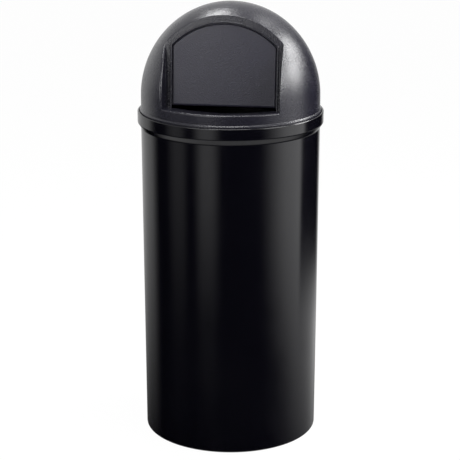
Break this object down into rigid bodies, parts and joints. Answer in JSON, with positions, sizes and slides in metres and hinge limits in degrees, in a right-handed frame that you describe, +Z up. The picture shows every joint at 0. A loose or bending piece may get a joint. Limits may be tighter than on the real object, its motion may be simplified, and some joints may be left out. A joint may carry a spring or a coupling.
{
  "type": "dome top waste receptacle",
  "caption": "Round floor-standing waste receptacle with a lift-off dome, a sprung push door in a flat recess and a bag ring inside.",
  "frame": {"origin": "centre of the round base, on the floor", "axes": "+Z up along the container's axis; the door faces -Y; +X is to the right of someone who faces the door"},
  "size_m": [0.3906, 0.3906, 0.927],
  "materials": {
    "body": "smooth semi-gloss black moulded polyethylene",
    "dome": "black moulded plastic with a fine pebble grain",
    "door": "black moulded plastic with a fine pebble grain",
    "ring": "dark grey moulded plastic",
    "steel": "zinc-plated steel",
    "spring": "drawn spring wire",
    "nylon": "natural nylon",
    "rubber": "black rubber"
  },
  "bodies": {
    "container": {"container_body": "body"},
    "bag_ring": {"bag_ring": "ring"},
    "dome": {"dome_lid": "dome", "hinge_rod": "steel", "hinge_bracket_left": "steel", "hinge_bracket_right": "steel", "bracket_screw_1": "steel", "bracket_screw_2": "steel", "bracket_screw_3": "steel", "bracket_screw_4": "steel", "rod_cap_left": "steel", "rod_cap_right": "steel", "door_spring_left": "spring", "door_spring_right": "spring"},
    "door": {"push_door": "door", "hinge_bush_left": "nylon", "hinge_bush_right": "nylon", "door_bumper_1": "rubber", "door_bumper_2": "rubber", "door_bumper_3": "rubber", "door_bumper_4": "rubber"}
  },
  "joints": [
    {"name": "door_swing", "type": "hinge", "parent": "dome", "child": "door", "pos_m": [0, -0.06326, 0.89116], "axis": [1, 0, 0], "range_deg": [0, 65], "stiffness_Nm_per_rad": 0.15, "springref_deg": -34.38, "deforming": ["door_spring_left", "door_spring_right"]},
    {"name": "dome_lift", "type": "slide", "parent": "container", "child": "dome", "axis": [0, 0, 1], "range_m": [0, 0.4]},
    {"name": "bag_ring_lift", "type": "slide", "parent": "container", "child": "bag_ring", "axis": [0, 0, 1], "range_m": [0, 0.015]}
  ]
}
